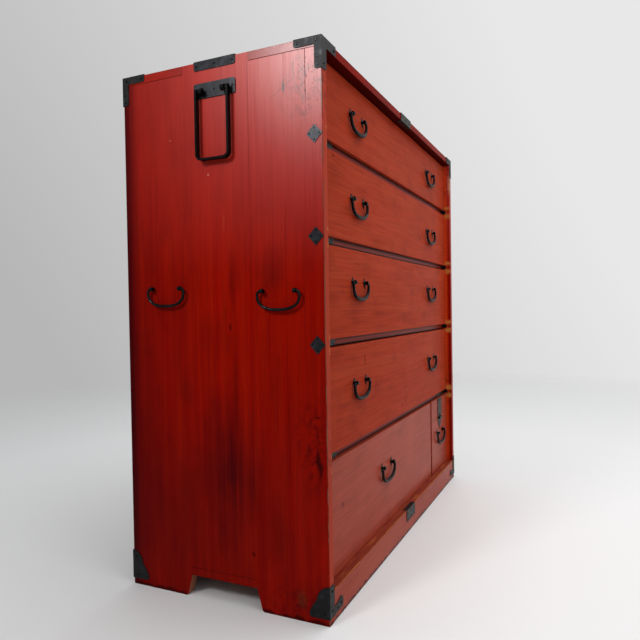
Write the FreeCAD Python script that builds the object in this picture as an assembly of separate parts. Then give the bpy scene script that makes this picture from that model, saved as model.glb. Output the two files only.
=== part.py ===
import FreeCAD, Part
import math
import os

# Red lacquered tansu: a case of boards with comb-jointed corners, four full-width drawers over a wide
# and a small locking drawer, forged iron corners, straps, drop handles and two carrying-pole handles.
# Millimetres. X runs to the right seen from the front, Y backwards and Z up. The origin is on the floor,
# under the middle of the overall box with the handles counted.

Vector = FreeCAD.Vector

# Case boards
CASE_WIDTH = 980.0
CASE_DEPTH = 428.0
SIDE_THICK = 18.0
TOP_THICK = 16.0
BOTTOM_THICK = 15.0
FOOT_HEIGHT = 41.0
FOOT_SLANT = 11.0
FOOT_ROUND = 6.0
APRON_THICK = 18.0
APRON_TENON_SHOULDER = 5.0
BACK_THICK = 8.0
BACK_RABBET = 9.0
BACK_BOARD_COUNT = 5
BACK_BOARD_GAP = 0.5
BACK_FLOOR_GAP = 5.0
HOUSING_DEPTH = 6.0
ARRIS_CHAMFER = 0.9

# Rails, dust panels and the divider of the bottom row
RAIL_HEIGHT = 12.0
RAIL_DEPTH = 45.0
RAIL_SETBACK = 26.0
DUST_THICK = 8.0
TONGUE_LENGTH = 6.0
DIVIDER_THICK = 12.0
SMALL_OPENING_WIDTH = 186.0

# Drawer openings, from the top row to the bottom row
OPENING_1 = 139.5
OPENING_2 = 160.5
OPENING_3 = 173.0
OPENING_4 = 193.5
OPENING_5 = 213.5

# Drawer boards and running clearances
FRONT_SETBACK = 18.0
FRONT_THICK = 18.0
WALL_THICK = 9.0
WALL_DROP = 6.0
LAP_DEPTH = 10.0
DRAWER_BOTTOM_THICK = 7.0
TOP_GAP = 3.0
SIDE_GAP = 1.0
RUN_GAP = 0.3
BACK_GAP = 6.0

# Drop handles: a forged bail whose pins turn in the eyes of two posts
POST_SPACING = 65.0
POST_STANDOFF = 6.0
SIDE_POST_STANDOFF = 8.0
EYE_RADIUS = 4.2
EYE_LENGTH = 6.0
PIN_RADIUS = 2.2
PIN_CLEARANCE = 0.08
SHOULDER_GAP = 0.6
SHOULDER_DROP = 7.0
BAIL_SPAN = 84.0
BAIL_DROP = 33.0
BAIL_END_RADIUS = 2.4
BAIL_MID_RADIUS = 4.0
SIDE_BAIL_MID_RADIUS = 2.9
GRIP_CURVE_POWER = 0.8
LEG_WIDTH = 5.0
LEG_THICK = 3.0
PRONG_THICK = 1.5
PRONG_LENGTH = 12.0
ESCUTCHEON_HEIGHT = 21.0
ESCUTCHEON_WIDTH = 16.0
ESCUTCHEON_THICK = 1.0
HANDLE_INSET = 186.0
HANDLE_RAISE_1 = 8.0
HANDLE_RAISE_2 = 5.0
HANDLE_RAISE_3 = 21.0
HANDLE_RAISE_4 = 19.0
WIDE_HANDLE_SHIFT = -26.0
WIDE_HANDLE_RAISE = 26.0
SMALL_HANDLE_RAISE = 5.5
SIDE_HANDLE_FRONT_INSET = 86.0
SIDE_HANDLE_FRONT_Z = 575.0
SIDE_HANDLE_BACK_INSET = 99.0
SIDE_HANDLE_BACK_Z = 585.0
SIDE_LEG_LENGTH = 16.0

# Carrying-pole handles, of flat strap bent to a U
POLE_PLATE_WIDTH = 90.0
POLE_PLATE_HEIGHT = 28.0
POLE_PLATE_THICK = 2.0
POLE_PLATE_DROP = 54.0
POLE_PIVOT_DROP = 58.0
POLE_STANDOFF = 9.5
POLE_POST_SPACING = 48.0
POLE_EYE_RADIUS = 5.5
POLE_EYE_LENGTH = 8.0
POLE_PIN_RADIUS = 3.0
POLE_LEG_WIDTH = 7.0
POLE_LEG_THICK = 4.0
POLE_LEG_LENGTH = 16.0
STRAP_THICK = 4.0
STRAP_WIDTH = 10.0
POLE_BAIL_WIDTH = 72.0
POLE_BAIL_LENGTH = 126.0
POLE_BAIL_ROUND = 12.0

# Sheet iron mounts
IRON_THICK = 1.2
CORNER_ARM_WIDTH = 13.0
CORNER_DEPTH_ARM = 52.0
CORNER_WIDTH_ARM = 59.0
CORNER_DROP_ARM = 54.0
CORNER_ROUND = 4.0
FOOT_IRON_BASE = 12.0
FOOT_IRON_TOP = 68.0
FOOT_IRON_WAIST_Z = 43.0
FOOT_IRON_WAIST = 24.0
FOOT_IRON_LENGTH = 39.0
FOOT_LOBE_LENGTH = 57.0
FOOT_LOBE_HEIGHT = 22.0
SIDE_STRAP_LENGTH = 90.0
SIDE_STRAP_HEIGHT = 16.0
TOP_STRAP_LENGTH = 80.0
TOP_STRAP_REACH = 16.0
BASE_STRAP_LENGTH = 70.0
BASE_STRAP_DROP = 28.0
STRAP_LEDGE = 10.0
DIAMOND_WIDTH = 29.0
DIAMOND_HEIGHT = 32.0
DIAMOND_EDGE_GAP = 0.5
DIAMOND_COUNT = 3
RAIL_IRON_LEFT = 78.0
RAIL_IRON_RIGHT = 14.0
RAIL_IRON_STRIKE = 95.0
RAIL_IRON_LEG = 13.0
RAIL_IRON_MARGIN = 0.5

# Slide-bolt lock of the small drawer
LOCK_PLATE_WIDTH = 42.0
LOCK_PLATE_HEIGHT = 89.0
LOCK_PLATE_SQUARE = 64.0
LOCK_PLATE_THICK = 1.5
LOCK_TIP_WIDTH = 7.0
KEYHOLE_RADIUS = 2.5
KEYHOLE_DROP = 72.0
BOLT_WIDTH = 12.0
BOLT_THICK = 6.0
BOLT_LENGTH = 66.0
BOLT_TRAVEL = 10.0
BOLT_CLEARANCE = 0.3
BOLT_TOP_INSET = 1.0
BOLT_MORTISE_DEPTH = 8.5
STEM_WIDTH = 6.0
STEM_HEIGHT = 6.0
THUMB_DROP = 58.0
THUMB_WIDTH = 26.0
THUMB_HEIGHT = 6.0
THUMB_THICK = 4.5
LOCK_BACK_WIDTH = 30.0
LOCK_BACK_LENGTH = 80.0

# Places worked out from the sizes above
FLOOR_Z = FOOT_HEIGHT + BOTTOM_THICK
OPENINGS = [OPENING_1, OPENING_2, OPENING_3, OPENING_4, OPENING_5]
RAIL_COUNT = len(OPENINGS) - 1
CASE_HEIGHT = FLOOR_Z + sum(OPENINGS) + RAIL_COUNT * RAIL_HEIGHT + TOP_THICK
HALF_WIDTH = CASE_WIDTH / 2
INNER_HALF = HALF_WIDTH - SIDE_THICK
FRONT_Y = -CASE_DEPTH / 2
BACK_Y = CASE_DEPTH / 2
MID_Y = (FRONT_Y + BACK_Y) / 2
INNER_BACK_Y = BACK_Y - BACK_THICK
TOP_Z = CASE_HEIGHT - TOP_THICK
FINGER_FRONT_Y = FRONT_Y + CASE_DEPTH / 3
FINGER_BACK_Y = BACK_Y - CASE_DEPTH / 3
RAIL_Y = FRONT_Y + RAIL_SETBACK
PANEL_Y = RAIL_Y + RAIL_DEPTH
FACE_Y = FRONT_Y + FRONT_SETBACK
DIVIDER_X = INNER_HALF - SMALL_OPENING_WIDTH - DIVIDER_THICK


def row_bottom(row):
    """Height of the floor of a drawer row; row 0 is the top one."""
    return FLOOR_Z + sum(OPENINGS[row + 1:]) + (RAIL_COUNT - row) * RAIL_HEIGHT


def box(x0, x1, y0, y1, z0, z1):
    """Box between two corners."""
    return Part.makeBox(x1 - x0, y1 - y0, z1 - z0, Vector(x0, y0, z0))


def prism(points, direction):
    """Closed outline, extruded."""
    return Part.Face(Part.makePolygon(points + points[:1])).extrude(direction)


def outline_prism(edges, direction):
    """Outline of lines and arcs, extruded."""
    return Part.Face(Part.Wire([edge.toShape() for edge in edges])).extrude(direction)


def edges_at(shape, places):
    """The edges whose middles lie at the given places."""
    chosen = []
    for edge in shape.Edges:
        middle = edge.valueAt((edge.FirstParameter + edge.LastParameter) / 2)
        if any(middle.distanceToPoint(place) < 1e-3 for place in places):
            chosen.append(edge)
    return chosen


def rounded(shape, radius, places):
    """Fillets the edges whose middles lie at the given places."""
    return shape.makeFillet(radius, edges_at(shape, places))


def eased(shape, places):
    """Thread-thin chamfers on the edges whose middles lie at the given places."""
    return shape.makeChamfer(ARRIS_CHAMFER, edges_at(shape, places))


def mirrored_x(shape):
    """The same shape on the other side of the middle plane."""
    return shape.mirror(Vector(0, 0, 0), Vector(1, 0, 0))


def placed(shape, position, turn=0.0):
    """A shape turned about Z and moved from its own frame to its place."""
    copy = shape.copy()
    copy.Placement = FreeCAD.Placement(position, FreeCAD.Rotation(Vector(0, 0, 1), turn))
    return copy


def fused(shapes):
    """One solid from overlapping or touching shapes."""
    return shapes[0].multiFuse(shapes[1:]).removeSplitter()


def compound(shapes):
    """Separate solids that share a node."""
    return Part.makeCompound(shapes)


# Case boards

def rail(row):
    """Front rail under a drawer row, grooved at the back for the dust panel's tongue."""
    top = row_bottom(row)
    half = INNER_HALF + HOUSING_DEPTH
    bar = box(-half, half, RAIL_Y, PANEL_Y, top - RAIL_HEIGHT, top)
    groove = box(-half, half, PANEL_Y - TONGUE_LENGTH, PANEL_Y, top - DUST_THICK, top - DUST_THICK / 2)
    return bar.cut(groove)


def dust_panel(row):
    """Thin board behind a rail, flush with its top, that the drawer runs on."""
    top = row_bottom(row)
    half = INNER_HALF + HOUSING_DEPTH
    board = box(-half, half, PANEL_Y, INNER_BACK_Y, top - DUST_THICK, top)
    tongue = box(-half, half, PANEL_Y - TONGUE_LENGTH, PANEL_Y, top - DUST_THICK, top - DUST_THICK / 2)
    return fused([board, tongue])


def divider():
    """Upright between the wide and the small drawer, up to the rail and the dust panel above it."""
    rail_top = row_bottom(RAIL_COUNT - 1)
    right = DIVIDER_X + DIVIDER_THICK
    front = box(DIVIDER_X, right, RAIL_Y, PANEL_Y, FLOOR_Z, rail_top - RAIL_HEIGHT)
    rear = box(DIVIDER_X, right, PANEL_Y, INNER_BACK_Y, FLOOR_Z, rail_top - DUST_THICK)
    return fused([front, rear])


def top_board():
    """Top, whose ends show as a finger at the front and at the back of each side."""
    board = box(-HALF_WIDTH, HALF_WIDTH, FRONT_Y, BACK_Y, TOP_Z, CASE_HEIGHT)
    for x0, x1 in ((-HALF_WIDTH, -INNER_HALF), (INNER_HALF, HALF_WIDTH)):
        board = board.cut(box(x0, x1, FINGER_FRONT_Y, FINGER_BACK_Y, TOP_Z, CASE_HEIGHT))
    arrises = [Vector(0, FRONT_Y, TOP_Z), Vector(0, FRONT_Y, CASE_HEIGHT), Vector(0, BACK_Y, CASE_HEIGHT)]
    for x in (-HALF_WIDTH, HALF_WIDTH):
        arrises.append(Vector(x, (FRONT_Y + FINGER_FRONT_Y) / 2, CASE_HEIGHT))
        arrises.append(Vector(x, (BACK_Y + FINGER_BACK_Y) / 2, CASE_HEIGHT))
    return eased(board, arrises)


def bottom_board():
    """Bottom, with a tongue through the middle of each side above the foot cut-out."""
    board = box(-INNER_HALF, INNER_HALF, FRONT_Y + APRON_THICK, INNER_BACK_Y, FOOT_HEIGHT, FLOOR_Z)
    tongues = box(-HALF_WIDTH, HALF_WIDTH, FINGER_FRONT_Y, FINGER_BACK_Y, FOOT_HEIGHT, FLOOR_Z)
    return fused([board, tongues])


def apron():
    """Board across the front from the floor to the sill, tenoned into the sides."""
    back = FRONT_Y + APRON_THICK
    shoulder = APRON_TENON_SHOULDER
    tenon_half = INNER_HALF + HOUSING_DEPTH
    board = box(-INNER_HALF, INNER_HALF, FRONT_Y, back, 0, FLOOR_Z)
    board = eased(board, [Vector(0, FRONT_Y, 0), Vector(0, FRONT_Y, FLOOR_Z)])
    low, high = 2 * shoulder, FLOOR_Z - 2 * shoulder
    tenons = box(-tenon_half, tenon_half, FRONT_Y + shoulder, back - shoulder, low, high)
    return fused([board, tenons])


def back_boards():
    """Level planks set in the rabbets of the sides, from just above the floor to the top board."""
    half = INNER_HALF + BACK_RABBET
    pitch = (TOP_Z - BACK_FLOOR_GAP) / BACK_BOARD_COUNT
    boards = []
    for index in range(BACK_BOARD_COUNT):
        low = BACK_FLOOR_GAP + index * pitch
        high = low + pitch - (BACK_BOARD_GAP if index < BACK_BOARD_COUNT - 1 else 0)
        boards.append(box(-half, half, INNER_BACK_Y, BACK_Y, low, high))
    return boards


def left_side(fitted):
    """Side board with comb fingers, two feet and a housing for every board and post let into it."""
    outline = [
        (FRONT_Y, 0), (FINGER_FRONT_Y - FOOT_SLANT, 0),
        (FINGER_FRONT_Y, FOOT_HEIGHT), (FINGER_FRONT_Y, FLOOR_Z),
        (FINGER_BACK_Y, FLOOR_Z), (FINGER_BACK_Y, FOOT_HEIGHT),
        (FINGER_BACK_Y + FOOT_SLANT, 0), (BACK_Y, 0),
        (BACK_Y, TOP_Z), (FINGER_BACK_Y, TOP_Z),
        (FINGER_BACK_Y, CASE_HEIGHT), (FINGER_FRONT_Y, CASE_HEIGHT),
        (FINGER_FRONT_Y, TOP_Z), (FRONT_Y, TOP_Z),
    ]
    board = prism([Vector(-HALF_WIDTH, y, z) for y, z in outline], Vector(SIDE_THICK, 0, 0))
    middle = -HALF_WIDTH + SIDE_THICK / 2
    heels = [FINGER_FRONT_Y - FOOT_SLANT, FINGER_BACK_Y + FOOT_SLANT]
    board = rounded(board, FOOT_ROUND, [Vector(middle, y, 0) for y in heels])
    arrises = [Vector(-HALF_WIDTH, y, TOP_Z / 2) for y in (FRONT_Y, BACK_Y)]
    arrises += [Vector(-INNER_HALF, FRONT_Y, TOP_Z / 2), Vector(-HALF_WIDTH, MID_Y, CASE_HEIGHT)]
    return eased(board, arrises).cut(fitted)


# Drop handles, in a frame with the face at y 0, outwards along -Y, and the pivot line at z 0

def bail_stations(mid_radius):
    """Points, directions and radii along half of a bail, from the shoulder to the middle of the grip.

    The grip is an ellipse whose sine and cosine are raised to a power below 1, which squares it a little.
    """
    shoulder_x = POST_SPACING / 2 + EYE_LENGTH / 2 + SHOULDER_GAP
    half = BAIL_SPAN / 2
    reach, sag = half - shoulder_x, BAIL_DROP - SHOULDER_DROP
    stations = []
    for turn in (0, 45, 90):
        angle = math.radians(turn)
        point = (shoulder_x + reach * math.sin(angle), SHOULDER_DROP * (math.cos(angle) - 1))
        stations.append((point, (math.cos(angle) * reach, -math.sin(angle) * SHOULDER_DROP)))
    power = GRIP_CURVE_POWER
    for turn in (15, 30, 45, 60, 75, 90):
        cosine, sine = math.cos(math.radians(turn)), math.sin(math.radians(turn))
        point = (half * cosine ** power, -SHOULDER_DROP - sag * sine ** power)
        stations.append((point, (-half * sine ** (2 - power), -sag * cosine ** (2 - power))))
    last = len(stations) - 1
    step = (mid_radius - BAIL_END_RADIUS) / last
    return [(point, way, BAIL_END_RADIUS + step * index) for index, (point, way) in enumerate(stations)]


def bail(standoff, mid_radius):
    """Forged drop handle: a tapered round bar with a pin at each end, turned inwards on the pivot line."""
    half = bail_stations(mid_radius)
    other = [((-x, z), (dx, -dz), radius) for (x, z), (dx, dz), radius in reversed(half[:-1])]
    sections = []
    for (x, z), (dx, dz), radius in half + other:
        circle = Part.Circle(Vector(x, -standoff, z), Vector(dx, 0, dz), radius)
        sections.append(Part.Wire(circle.toShape()))
    grip = Part.makeLoft(sections, True, True)
    shoulder_x = half[0][0][0]
    tip_x = POST_SPACING / 2 - EYE_LENGTH / 2 + SHOULDER_GAP
    length = shoulder_x - tip_x + BAIL_END_RADIUS
    pins = [
        Part.makeCylinder(PIN_RADIUS, length, Vector(side * tip_x, -standoff, 0), Vector(side, 0, 0))
        for side in (-1, 1)
    ]
    return fused([grip] + pins)


def post(side, standoff, leg_length, clenched):
    """Post with an eye for the bail's pin; its split leg is clenched where the board's back is free."""
    x = side * POST_SPACING / 2
    start = Vector(x - EYE_LENGTH / 2, -standoff, 0)
    eye = Part.makeCylinder(EYE_RADIUS, EYE_LENGTH, start, Vector(1, 0, 0))
    left, right = x - LEG_WIDTH / 2, x + LEG_WIDTH / 2
    pieces = [eye, box(left, right, -standoff, leg_length, -LEG_THICK / 2, LEG_THICK / 2)]
    if clenched:
        pieces.append(box(left, right, leg_length, leg_length + PRONG_THICK, -PRONG_LENGTH, PRONG_LENGTH))
    hole = Part.makeCylinder(PIN_RADIUS + PIN_CLEARANCE, EYE_LENGTH, start, Vector(1, 0, 0))
    return fused(pieces).cut(hole)


def escutcheon(side, leg):
    """Small lozenge plate under a post."""
    x = side * POST_SPACING / 2
    half_width, half_height = ESCUTCHEON_WIDTH / 2, ESCUTCHEON_HEIGHT / 2
    points = [(x - half_width, 0), (x, half_height), (x + half_width, 0), (x, -half_height)]
    plate = prism([Vector(px, -ESCUTCHEON_THICK, pz) for px, pz in points], Vector(0, ESCUTCHEON_THICK, 0))
    return plate.cut(leg)


def drawer_fixings():
    """The two clenched posts and two escutcheons of a drawer's handle."""
    posts = [post(side, POST_STANDOFF, FRONT_THICK, True) for side in (-1, 1)]
    plates = [escutcheon(side, leg) for side, leg in zip((-1, 1), posts)]
    return posts + plates


# Carrying-pole handle, in the same frame as the drop handles

def pole_plate():
    """Backing plate of a pole handle, with eased corners."""
    half = POLE_PLATE_WIDTH / 2
    low = POLE_PIVOT_DROP - POLE_PLATE_DROP - POLE_PLATE_HEIGHT / 2
    high = low + POLE_PLATE_HEIGHT
    plate = box(-half, half, -POLE_PLATE_THICK, 0, low, high)
    corners = [Vector(x, -POLE_PLATE_THICK / 2, z) for x in (-half, half) for z in (low, high)]
    return rounded(plate, CORNER_ROUND, corners)


def pole_post(side):
    """Post with an eye for a pole handle's pin, driven through the plate into the case."""
    x = side * POLE_POST_SPACING / 2
    start = Vector(x - POLE_EYE_LENGTH / 2, -POLE_STANDOFF, 0)
    eye = Part.makeCylinder(POLE_EYE_RADIUS, POLE_EYE_LENGTH, start, Vector(1, 0, 0))
    half, flat = POLE_LEG_WIDTH / 2, POLE_LEG_THICK / 2
    leg = box(x - half, x + half, -POLE_STANDOFF, POLE_LEG_LENGTH, -flat, flat)
    hole = Part.makeCylinder(POLE_PIN_RADIUS + PIN_CLEARANCE, POLE_EYE_LENGTH, start, Vector(1, 0, 0))
    return fused([eye, leg]).cut(hole)


def pole_bail():
    """U of flat strap whose rounded upper ends carry pins that turn inwards into the posts."""
    half, drop = POLE_BAIL_WIDTH / 2, POLE_BAIL_LENGTH
    top = STRAP_WIDTH / 2
    near = -POLE_STANDOFF + STRAP_WIDTH / 2
    far = near - STRAP_WIDTH
    middle_y = (near + far) / 2
    outer = box(-half, half, far, near, -drop, top)
    outer = rounded(outer, POLE_BAIL_ROUND, [Vector(x, middle_y, -drop) for x in (-half, half)])
    inner_half, inner_drop = half - STRAP_THICK, drop - STRAP_THICK
    inner = box(-inner_half, inner_half, far, near, -inner_drop, top)
    inner_round = POLE_BAIL_ROUND - STRAP_THICK
    inner = rounded(inner, inner_round, [Vector(x, middle_y, -inner_drop) for x in (-inner_half, inner_half)])
    strap = outer.cut(inner)
    ends = box(-half, half, far, near, -drop, 0)
    rounds = Part.makeCylinder(STRAP_WIDTH / 2, 2 * half, Vector(-half, middle_y, 0), Vector(1, 0, 0))
    tip = POLE_POST_SPACING / 2 - POLE_EYE_LENGTH / 2 + SHOULDER_GAP
    pins = [
        Part.makeCylinder(POLE_PIN_RADIUS, half - tip, Vector(side * tip, middle_y, 0), Vector(side, 0, 0))
        for side in (-1, 1)
    ]
    return fused([strap.common(fused([ends, rounds]))] + pins)


# Iron mounts of the case

def case_block():
    """The plain block that the corner irons are folded round."""
    return box(-HALF_WIDTH, HALF_WIDTH, FRONT_Y, BACK_Y, 0, CASE_HEIGHT)


def top_corner_iron(side, at_back):
    """Three-armed iron folded over a top corner of the case."""
    t, arm = IRON_THICK, CORNER_ARM_WIDTH
    x_out, x_way = side * (HALF_WIDTH + t), -side
    y_out, y_way = (BACK_Y + t, -1) if at_back else (FRONT_Y - t, 1)
    top = CASE_HEIGHT + t

    def span(x_reach, y_reach, z_reach):
        xs = sorted((x_out, x_out + x_way * (x_reach + t)))
        ys = sorted((y_out, y_out + y_way * (y_reach + t)))
        return box(xs[0], xs[1], ys[0], ys[1], top - z_reach - t, top)

    arms = [
        span(arm, CORNER_DEPTH_ARM, arm),
        span(CORNER_WIDTH_ARM, arm, TOP_THICK),
        span(SIDE_THICK, arm, CORNER_DROP_ARM),
    ]
    iron = fused(arms).cut(case_block())
    x_sheet, y_sheet, z_sheet = x_out + x_way * t / 2, y_out + y_way * t / 2, top - t / 2
    x_arm, y_arm = x_out + x_way * (arm + t), y_out + y_way * (arm + t)
    x_end, y_end = x_out + x_way * (CORNER_WIDTH_ARM + t), y_out + y_way * (CORNER_DEPTH_ARM + t)
    drop_end = top - CORNER_DROP_ARM - t
    tips = [
        Vector(x_sheet, y_end, top - arm - t), Vector(x_arm, y_end, z_sheet),
        Vector(x_end, y_sheet, top - TOP_THICK - t), Vector(x_end, y_arm, z_sheet),
        Vector(x_sheet, y_arm, drop_end), Vector(x_out + x_way * (SIDE_THICK + t), y_sheet, drop_end),
    ]
    return rounded(iron, CORNER_ROUND, tips)


def foot_iron(side, at_back):
    """Cloud-edged iron round the foot of a corner, with a lobe on the apron at the front."""
    t = IRON_THICK
    x_face = side * HALF_WIDTH
    y_face, way = (BACK_Y, -1) if at_back else (FRONT_Y, 1)

    def side_point(along, z):
        return Vector(x_face, y_face + way * along, z)

    base, waist_z, top = FOOT_IRON_BASE, FOOT_IRON_WAIST_Z, FOOT_IRON_TOP
    waist, length = FOOT_IRON_WAIST, FOOT_IRON_LENGTH
    heel = base + (waist_z - base) / 6
    corner_top, waist_point = side_point(-t, top), side_point(waist, waist_z)
    lobe_end, toe = side_point(length, heel), side_point(length * 0.9, base)
    corner_base = side_point(-t, base)
    edges = [
        Part.Arc(corner_top, side_point(waist * 0.7, waist_z + (top - waist_z) * 0.68), waist_point),
        Part.Arc(waist_point, side_point((waist + length) / 2 + t, (waist_z + heel) / 2 + t), lobe_end),
        Part.LineSegment(lobe_end, toe),
        Part.LineSegment(toe, corner_base),
        Part.LineSegment(corner_base, corner_top),
    ]
    side_plate = outline_prism(edges, Vector(side * t, 0, 0))
    xs = sorted((x_face, x_face - side * SIDE_THICK))
    ys = sorted((y_face, y_face - way * t))
    strip = box(xs[0], xs[1], ys[0], ys[1], base, top)
    pieces = [side_plate, strip]
    if not at_back:
        pieces.append(apron_lobe(side, y_face))
    return fused(pieces)


def apron_lobe(side, y_face):
    """Rounded lobe of a front foot iron that lies on the apron."""
    def front_point(along, up):
        return Vector(side * (HALF_WIDTH - along), y_face, FOOT_IRON_BASE + up)

    inner, length, height = SIDE_THICK, FOOT_LOBE_LENGTH, FOOT_LOBE_HEIGHT
    root, crown = front_point(inner, height * 0.7), front_point(length * 0.8, height)
    nose = front_point(length, height / 2)
    toe, heel = front_point(length * 0.96, height * 0.1), front_point(inner, 0)
    edges = [
        Part.Arc(root, front_point((inner + length * 0.8) / 2, height * 0.78), crown),
        Part.Arc(crown, front_point(length * 0.95, height * 0.86), nose),
        Part.LineSegment(nose, toe),
        Part.LineSegment(toe, heel),
        Part.LineSegment(heel, root),
    ]
    return outline_prism(edges, Vector(0, -IRON_THICK, 0))


def side_strap(side):
    """Strap folded over the top edge of a side, at its middle."""
    t = IRON_THICK
    half, reach = SIDE_STRAP_LENGTH / 2, SIDE_STRAP_HEIGHT
    xs = sorted((side * (HALF_WIDTH + t), side * (HALF_WIDTH - reach)))
    strap = box(xs[0], xs[1], MID_Y - half, MID_Y + half, CASE_HEIGHT - reach, CASE_HEIGHT + t)
    strap = strap.cut(case_block())
    tips = []
    for y in (MID_Y - half, MID_Y + half):
        tips.append(Vector(side * (HALF_WIDTH + t / 2), y, CASE_HEIGHT - reach))
        tips.append(Vector(side * (HALF_WIDTH - reach), y, CASE_HEIGHT + t / 2))
    return rounded(strap, CORNER_ROUND, tips)


def top_strap():
    """Strap folded over and under the middle of the top board's front edge."""
    t, half = IRON_THICK, TOP_STRAP_LENGTH / 2
    over = box(-half, half, FRONT_Y - t, FRONT_Y + TOP_STRAP_REACH, TOP_Z - t, CASE_HEIGHT + t)
    over = over.cut(box(-half, half, FRONT_Y + STRAP_LEDGE, FRONT_Y + TOP_STRAP_REACH, TOP_Z - t, TOP_Z))
    return over.cut(box(-half, half, FRONT_Y, BACK_Y, TOP_Z, CASE_HEIGHT))


def base_strap():
    """Strap on the middle of the apron, let in flush on the sill so that the drawer passes over it."""
    t, half = IRON_THICK, BASE_STRAP_LENGTH / 2
    low = FLOOR_Z - BASE_STRAP_DROP
    face = box(-half, half, FRONT_Y - t, FRONT_Y, low, FLOOR_Z)
    face = rounded(face, CORNER_ROUND, [Vector(x, FRONT_Y - t / 2, low) for x in (-half, half)])
    ledge = box(-half, half, FRONT_Y, FRONT_Y + STRAP_LEDGE, FLOOR_Z - t, FLOOR_Z)
    return fused([face, ledge])


def diamond_plate(side, row):
    """Lozenge over the end of a rail's joint."""
    x_face = side * HALF_WIDTH
    half_width, half_height = DIAMOND_WIDTH / 2, DIAMOND_HEIGHT / 2
    y = FRONT_Y + DIAMOND_EDGE_GAP + half_width
    z = row_bottom(row) - RAIL_HEIGHT / 2
    points = [(y - half_width, z), (y, z + half_height), (y + half_width, z), (y, z - half_height)]
    return prism([Vector(x_face, py, pz) for py, pz in points], Vector(side * IRON_THICK, 0, 0))


def rail_irons(row):
    """Angle irons that tie a rail's ends to the sides; the lowest rail's right one is the lock's strike."""
    top = row_bottom(row) - RAIL_IRON_MARGIN
    low = row_bottom(row) - RAIL_HEIGHT + RAIL_IRON_MARGIN
    right = RAIL_IRON_STRIKE if row == RAIL_COUNT - 1 else RAIL_IRON_RIGHT
    irons = []
    for side, length in ((-1, RAIL_IRON_LEFT), (1, right)):
        xs = sorted((side * INNER_HALF, side * (INNER_HALF - length)))
        legs = sorted((side * INNER_HALF, side * (INNER_HALF - IRON_THICK)))
        on_rail = box(xs[0], xs[1], RAIL_Y - IRON_THICK, RAIL_Y, low, top)
        on_side = box(legs[0], legs[1], RAIL_Y - RAIL_IRON_LEG, RAIL_Y, low, top)
        irons.append(fused([on_rail, on_side]))
    return irons


# Drawers

def drawer_span(row, x0, x1):
    """Corners of a drawer in its opening, as (left, right, low, high, back)."""
    low = row_bottom(row)
    return x0 + SIDE_GAP, x1 - SIDE_GAP, low + RUN_GAP, low + OPENINGS[row] - TOP_GAP, INNER_BACK_Y - BACK_GAP


def drawer_front(span):
    """Front board, lapped at its ends for the walls and below for the bottom."""
    left, right, low, high, _ = span
    rear = FACE_Y + FRONT_THICK
    lap = rear - LAP_DEPTH
    board = box(left, right, FACE_Y, rear, low, high)
    middle_x, middle_z = (left + right) / 2, (low + high) / 2
    arrises = [Vector(middle_x, FACE_Y, z) for z in (low, high)]
    arrises += [Vector(x, FACE_Y, middle_z) for x in (left, right)]
    board = eased(board, arrises)
    for x0, x1 in ((left, left + WALL_THICK), (right - WALL_THICK, right)):
        board = board.cut(box(x0, x1, lap, rear, low, high - WALL_DROP))
    return board.cut(box(left, right, lap, rear, low, low + DRAWER_BOTTOM_THICK))


def drawer_walls(span):
    """Two side walls, let into the front, and the back between them."""
    left, right, low, high, back = span
    lap = FACE_Y + FRONT_THICK - LAP_DEPTH
    floor, top = low + DRAWER_BOTTOM_THICK, high - WALL_DROP
    return [
        box(left, left + WALL_THICK, lap, back, floor, top),
        box(right - WALL_THICK, right, lap, back, floor, top),
        box(left + WALL_THICK, right - WALL_THICK, back - WALL_THICK, back, floor, top),
    ]


def drawer_bottom(span):
    """Bottom board, nailed up under the walls and into the front's lap."""
    left, right, low, _, back = span
    return box(left, right, FACE_Y + FRONT_THICK - LAP_DEPTH, back, low, low + DRAWER_BOTTOM_THICK)


def handle_places(span, offsets, raise_by):
    """Where the drop handles of a drawer go on its face."""
    left, right, low, high, _ = span
    middle, height = (left + right) / 2, (low + high) / 2 + raise_by
    return [Vector(middle + offset, FACE_Y, height) for offset in offsets]


# Lock of the small drawer

def lock_places(span):
    """Middle of the lock, the drawer's top edge and the back of its front board."""
    left, right, _, high, _ = span
    return (left + right) / 2, high, FACE_Y + FRONT_THICK


def lock_bolt(span):
    """Bolt behind the drawer front, with a stem through it to a thumb bar on the plate."""
    x, top, rear = lock_places(span)
    half_bolt, bolt_top = BOLT_WIDTH / 2, top - BOLT_TOP_INSET
    bolt = box(x - half_bolt, x + half_bolt, rear - BOLT_THICK, rear, bolt_top - BOLT_LENGTH, bolt_top)
    thumb_z = top - THUMB_DROP
    outside = FACE_Y - LOCK_PLATE_THICK - BOLT_CLEARANCE
    half_stem, half_height = STEM_WIDTH / 2, STEM_HEIGHT / 2
    stem = box(x - half_stem, x + half_stem, outside, rear, thumb_z - half_height, thumb_z + half_height)
    half_thumb, low, high = THUMB_WIDTH / 2, thumb_z - THUMB_HEIGHT / 2, thumb_z + THUMB_HEIGHT / 2
    thumb = box(x - half_thumb, x + half_thumb, outside - THUMB_THICK, outside, low, high)
    return fused([bolt, stem, thumb])


def stem_slot(span, y0, y1):
    """Slot that the stem of the bolt travels in."""
    x, top, _ = lock_places(span)
    half = STEM_WIDTH / 2 + BOLT_CLEARANCE
    low = top - THUMB_DROP - STEM_HEIGHT / 2 - BOLT_CLEARANCE
    high = low + STEM_HEIGHT + BOLT_TRAVEL + 2 * BOLT_CLEARANCE
    return box(x - half, x + half, y0, y1, low, high)


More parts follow.
